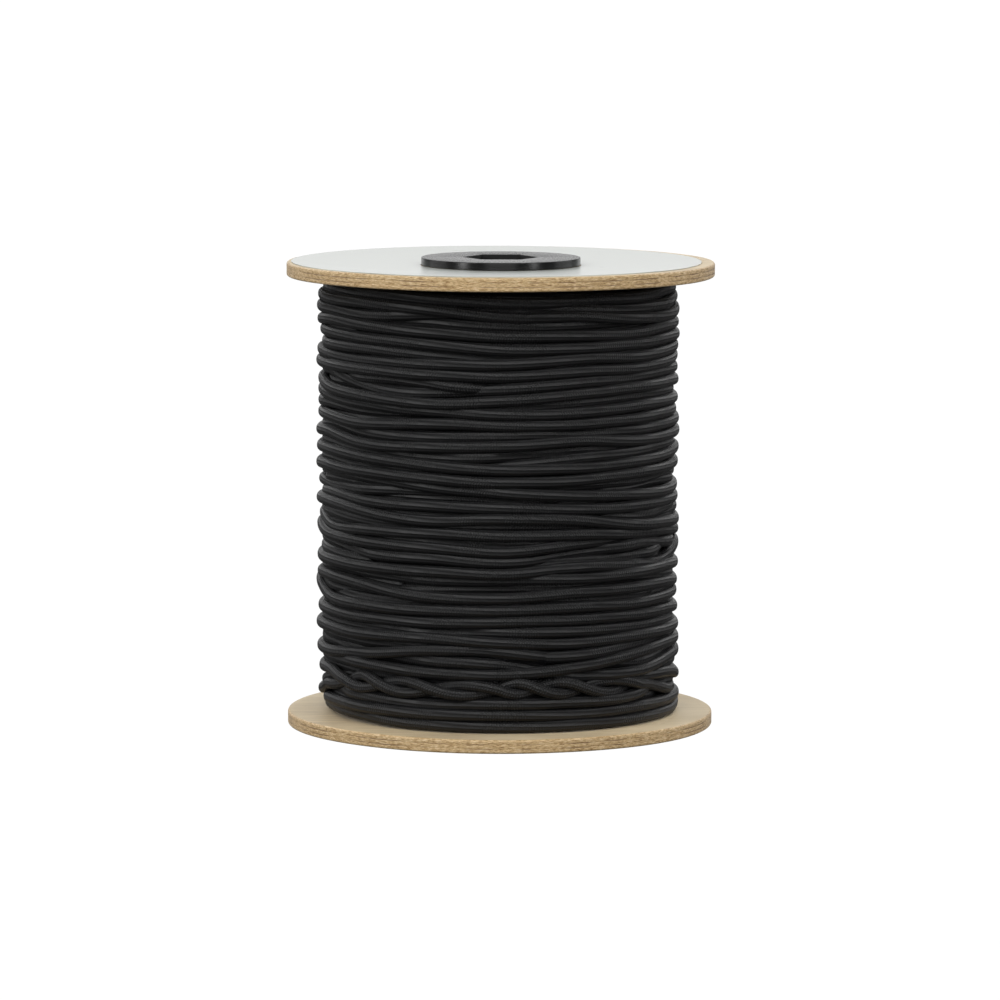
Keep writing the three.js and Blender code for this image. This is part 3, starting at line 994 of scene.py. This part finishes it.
# A round tube along rings at the given angles: its rings, faces, for each face corner the distance
# along and the share of the way round, and its number of sides
def tubeAlong(angles, radii, heights, sides, sizes):
    a = np.radians(angles)
    middle = np.stack([radii * np.sin(a), -radii * np.cos(a), heights], 1)
    along = np.gradient(middle, axis=0)
    along /= np.linalg.norm(along, axis=1)[:, None]
    out = np.stack([np.sin(a), -np.cos(a), np.zeros_like(a)], 1)
    out -= (out * along).sum(1)[:, None] * along
    out /= np.linalg.norm(out, axis=1)[:, None]
    up = np.cross(out, along)
    turn = 2 * np.pi * np.arange(sides) / sides
    half = cord["diameter"] / 2 * np.asarray(sizes)[:, None, None]
    outward, upward = (
        np.sign(wave) * np.abs(wave) ** (2 / cord["squareness"]) for wave in (np.cos(turn), np.sin(turn))
    )
    ring = cord["flatten"] * outward[None, :, None] * out[:, None]
    ring = ring + upward[None, :, None] * up[:, None]
    points = (middle[:, None] + half * ring).reshape(-1, 3)
    travelled = np.concatenate([[0], np.cumsum(np.linalg.norm(np.diff(middle, axis=0), axis=1))])
    rows = np.arange(len(angles) - 1)[:, None] * sides
    i = np.arange(sides)[None]
    after = (i + 1) % sides
    faces = np.stack([rows + i, rows + after, rows + sides + after, rows + sides + i], 2).reshape(-1, 4)
    start = np.repeat(travelled[:-1, None], sides, 1)
    end = np.repeat(travelled[1:, None], sides, 1)
    low = np.repeat(i / sides, len(rows), 0)
    high = low + 1 / sides
    corners = np.stack([start, low, start, high, end, high, end, low], 2).reshape(-1, 2)
    return points, faces, corners, sides


# Joins tubes into one piece, closing both ends of each
def addCordPiece(name, tubes, material):
    points, faces, corners = [], [], []
    offset = 0
    for tubePoints, tubeFaces, tubeCorners, sides in tubes:
        points.append(tubePoints)
        faces += (tubeFaces + offset).tolist()
        corners.append(tubeCorners)
        last = offset + len(tubePoints) - sides
        faces.append(list(range(offset + sides - 1, offset - 1, -1)))
        faces.append(list(range(last, last + sides)))
        corners.append(np.repeat(tubeCorners[:1], sides, 0))
        corners.append(np.repeat(tubeCorners[-1:], sides, 0))
        offset += len(tubePoints)
    piece = addPiece(name, np.concatenate(points), faces, material, "wound_cord")
    layout = piece.data.uv_layers.new(name="sheath")
    layout.uv.foreach_set("vector", (np.concatenate(corners) * (mm, 1)).astype(np.float32).ravel())
    return piece


# A polyester sheath, braided over a core: matt black yarns that slant across columns, left and right
# by turns, so that the cord shows fine lines along it and finer ribs across, which open in patches
def braidedSheath(name, openRange, paintedCrownHighlight):
    material, tree = startMaterial(name)
    laid = addNode(tree, "UVMap", {"uv_map": "sheath"})["UV"]
    parts = addNode(tree, "SeparateXYZ", inputs={0: laid})
    around = addNode(
        tree, "Math", {"operation": "MULTIPLY_ADD"},
        {0: parts["X"], 1: 1 / (sheath["wander"] * mm), 2: parts["Y"]},
    )["Value"]
    column = addNode(tree, "Math", {"operation": "MULTIPLY"}, {0: around, 1: sheath["columns"]})["Value"]
    slant = addNode(tree, "Math", {"operation": "PINGPONG"}, {0: column, 1: 1.0})["Value"]
    along = addNode(
        tree, "Math", {"operation": "MULTIPLY"}, {0: parts["X"], 1: 1 / (sheath["pitch"] * mm)}
    )["Value"]
    pick = addNode(
        tree, "Math", {"operation": "MULTIPLY_ADD"}, {0: slant, 1: sheath["lean"], 2: along}
    )["Value"]
    crowns = []
    for phase in (column, pick):
        angle = addNode(tree, "Math", {"operation": "MULTIPLY"}, {0: phase, 1: math.pi})["Value"]
        wave = addNode(tree, "Math", {"operation": "SINE"}, {0: angle})["Value"]
        crowns.append(addNode(tree, "Math", {"operation": "ABSOLUTE"}, {0: wave})["Value"])
    column, pick = crowns
    pick = addNode(tree, "Math", {"operation": "MULTIPLY"}, {0: pick, 1: pick})["Value"]
    place = addNode(tree, "TexCoord")["Object"]
    patches = addNode(
        tree, "TexNoise", inputs={"Vector": place, "Scale": 1 / (sheath["patch"] * mm), "Detail": 2}
    )["Fac"]
    opened = addNode(
        tree, "MapRange", {"interpolation_type": "SMOOTHSTEP"},
        {"Value": patches, "From Min": openRange[0], "From Max": openRange[1]},
    )["Result"]
    ribs = addNode(tree, "Mix", {"data_type": "FLOAT"}, {0: opened, 2: sheath["closedRib"], 3: pick})[0]
    yarns = addNode(tree, "Math", {"operation": "MULTIPLY"}, {0: column, 1: ribs})["Value"]
    fuzz = addNode(
        tree, "TexNoise", inputs={"Vector": place, "Scale": 1 / (sheath["fuzz"] * mm), "Detail": 4}
    )["Fac"]
    tone = addNode(tree, "Mix", {"data_type": "FLOAT"}, {0: sheath["fuzzShare"], 2: yarns, 3: fuzz})[0]
    # The colour rises with the yarns' height: near black between them is painted shade, the crown colour a
    # painted highlight, and the fuzz varies it at random
    stops = [*sheath["colours"], (1.0, paintedCrownHighlight)]
    colour = addNode(tree, "ValToRGB", {"stops": stops}, {"Fac": tone})["Color"]
    lowRough, highRough = sheath["rough"]
    rough = addNode(
        tree, "MapRange", inputs={"Value": fuzz, "To Min": lowRough, "To Max": highRough}
    )["Result"]
    bump = addNode(
        tree, "Bump", inputs={"Height": yarns, "Strength": 0.9, "Distance": sheath["relief"] * mm}
    )["Normal"]
    shader = addNode(
        tree, "BsdfPrincipled",
        inputs={
            "Base Color": colour, "Roughness": rough, "Normal": bump, "IOR": 1.5,
            "Specular IOR Level": 0.33, "Sheen Weight": 0.02, "Sheen Roughness": 0.4,
        },
    )
    addNode(tree, "OutputMaterial", inputs={"Surface": shader["BSDF"]})
    return material


# Sways the turns a little, as a hand lays them, but not where two twist or at the seams behind
def swayTurns(heights, held):
    calm = 1 - np.abs(stations / 180) ** 6
    for k in range(len(turns)):
        waves = [np.sin(np.radians(n * stations) + chance.uniform(0, 6.3)) for n in (5, 9, 14)]
        sway = cord["sway"] * calm * (waves[0] + 0.7 * waves[1] + 0.4 * waves[2])
        heights[k] += sway * (1 - held[k])


# The full turns at every station: height, rank, how far it is there, how far the twist holds it,
# and the radius at which it does
def placeTurns():
    heights, ranks, before, after = layTurns()
    within, ease, twistHeights, twistRadii = layTwist()
    present = np.ones_like(heights)
    held = np.zeros_like(heights)
    heldRadii = layerRadius(heights, stations)
    for row, height, radius in zip(twistedRows, twistHeights, twistRadii):
        heights[row] = (1 - within) * heights[row] + within * height
        held[row] = ease
        heldRadii[row] = radius - cord["offCentre"] * np.sin(np.radians(stations))
    swayTurns(heights, held)
    heights = np.maximum(heights, windingLow + cord["diameter"] / 2)
    firstTurn = next(k for k in range(len(turns)) if k not in before)
    lastTurn = next(k for k in range(len(turns)) if k not in after)
    present[firstTurn] = easeBetween(-180, -180 + cord["dive"], stations)
    present[lastTurn] = 1 - easeBetween(180 - cord["dive"], 180, stations)
    return (heights, ranks, present, held, heldRadii), before, after


# The same of the part turns
def placePartTurns():
    heights, ranks, present = [], [], []
    for rank, knots in partTurns:
        angles, values = zip(*knots)
        heights.append(throughKnots(angles, values, stations) - cord["litAbove"])
        ranks.append(np.full(len(stations), rank))
        comes = easeBetween(angles[0], angles[0] + cord["dive"], stations)
        goes = 1 - easeBetween(angles[-1] - cord["dive"], angles[-1], stations)
        present.append(comes * goes)
    heights = np.array(heights)
    return heights, ranks, present, np.zeros_like(heights), layerRadius(heights, stations)


# One turn's row with a station more at both ends, taken from the turns before and after it
def runOn(rows, k, before, after):
    head = rows[before[k]][-2] if k in before else rows[k][0]
    tail = rows[after[k]][1] if k in after else rows[k][-1]
    return np.concatenate([[head], rows[k], [tail]])


def fullTubes(heights, radii, held, before, after):
    angles = -180 + np.arange(-1, len(stations) + 1) * cord["step"]
    tubes = []
    for k in range(len(turns)):
        height = runOn(heights, k, before, after)
        radius = runOn(radii, k, before, after)
        sizes = 1 + (cord["twisted"] - 1) * np.pad(held[k], 1)
        sizes[[0, -1]] = cord["lapped"]
        tubes.append(tubeAlong(angles, radius, height, cord["sides"], sizes))
    return tubes


def partTubes(heights, radii):
    tubes = []
    for (_, knots), height, radius in zip(partTurns, heights, radii):
        inside = (stations >= knots[0][0]) & (stations <= knots[-1][0])
        sizes = np.ones(inside.sum())
        tubes.append(tubeAlong(stations[inside], radius[inside], height[inside], cord["sides"], sizes))
    return tubes


# Makes the outer layer, and gives the heights and radii of its turns for the layer beneath
def makeOuterLayer(material, twistedMaterial):
    fullTurns, before, after = placeTurns()
    rows = [np.concatenate(both) for both in zip(fullTurns, placePartTurns())]
    heights, _, present, held, _ = rows
    radii = smoothAlong(settle(*rows), before, after, 2)
    count = len(turns)
    tubes = fullTubes(heights, radii, held, before, after)
    third = math.ceil(count / 3)
    for i, name in enumerate(("cord_turns_low", "cord_turns_middle", "cord_turns_high")):
        plain = [tubes[k] for k in range(count) if k // third == i and k not in twistedRows]
        addCordPiece(name, plain, material)
    addCordPiece("cord_part_turns", partTubes(heights[count:], radii[count:]), material)
    addCordPiece("cord_twisted_pair", [tubes[k] for k in twistedRows], twistedMaterial)
    reach = radii.max() + cord["diameter"] / 2
    print("outer layer laid:", count, "turns, reaching", round(float(reach), 2), "mm")
    return np.where(present > 0.5, heights, -99), radii


# The layer beneath is one long helix, and is pressed outwards wherever the outer turns leave a gap
def makeInnerLayer(material, outerHeights, outerRadii):
    pitch = cord["diameter"] - innerLayer["tighter"]
    count = int((windingHigh - windingLow - cord["diameter"]) / pitch)
    angles = np.arange(-180, 360 * count - 180, cord["step"])
    climb = windingLow + cord["diameter"] / 2 + innerLayer["start"] + pitch * (angles + 180) / 360
    heights = climb + innerLayer["sway"] * np.sin(np.radians(innerLayer["swayWaves"] * angles))
    layer = layerRadius(heights, angles)
    station = np.round((np.mod(angles + 180, 360)) / cord["step"]).astype(int)
    across = heights[None] - outerHeights[:, station]
    need = np.sqrt(np.maximum(cord["contact"] ** 2 - across ** 2, 0))
    limit = np.where(need > 0, outerRadii[:, station] - need, 99).min(0)
    lowest = layer - cord["layerStep"] - innerLayer["sunk"]
    radii = np.clip(limit, lowest, layer - innerLayer["gapDepth"])
    kernel = np.hanning(innerLayer["smoothing"])[1:-1]
    padded = np.pad(radii, len(kernel) // 2, mode="edge")
    radii = np.convolve(padded, kernel / kernel.sum(), "valid")
    perTube = int(360 * innerLayer["turnsPerTube"] / cord["step"])
    tubes = []
    for start in range(0, len(angles) - 1, perTube):
        part = slice(max(start - 1, 0), start + perTube + 1)
        sizes = np.ones(len(angles[part]))
        tubes.append(tubeAlong(angles[part], radii[part], heights[part], innerLayer["sides"], sizes))
    addCordPiece("cord_layer_beneath", tubes, material)


# The wound heart of the spool, ridged by its turns, down to the tube
def makeHeart(material):
    inner = tubeRadius + pieceGap
    count = int((windingHigh - windingLow) / cord["diameter"])
    step = (windingHigh - windingLow) / count
    half = heart["halfRidge"] * step
    section = [(inner, windingLow)]
    for k in range(count):
        middle = windingLow + (k + 0.5) * step
        out = float(layerRadius(middle, 90)) - 2 * cord["layerStep"]
        valley, ridge = out + heart["valley"], out + heart["ridge"]
        section += [(valley, middle - half), (ridge, middle), (valley, middle + half)]
    section.append((inner, windingHigh))
    points, faces = turned(section, heart["segments"])
    piece = addPiece("cord_heart", points, faces, material, "wound_cord")
    layout = piece.data.uv_layers.new(name="sheath")
    corner = np.empty(len(piece.data.loops), np.int32)
    piece.data.loops.foreach_get("vertex_index", corner)
    spot = np.asarray(points)[corner]
    along = np.arctan2(spot[:, 1], spot[:, 0]) * heart["laidRadius"] * mm
    laid = np.stack([along, spot[:, 2] / heart["cordRound"]], 1)
    layout.uv.foreach_set("vector", laid.astype(np.float32).ravel())


blackSheath = braidedSheath("braided black polyester sheath", sheath["open"], sheath["paintedCrownHighlight"])
# A copy of the sheath for the twisted pair, with its yarn crowns painted brighter as a highlight
twistedSheathPaintedBrighter = braidedSheath(
    "braided black polyester sheath, drawn tight", sheath["drawnOpen"], sheath["drawnPaintedCrownHighlight"]
)
makeInnerLayer(blackSheath, *makeOuterLayer(blackSheath, twistedSheathPaintedBrighter))
makeHeart(blackSheath)
print("cord wound")
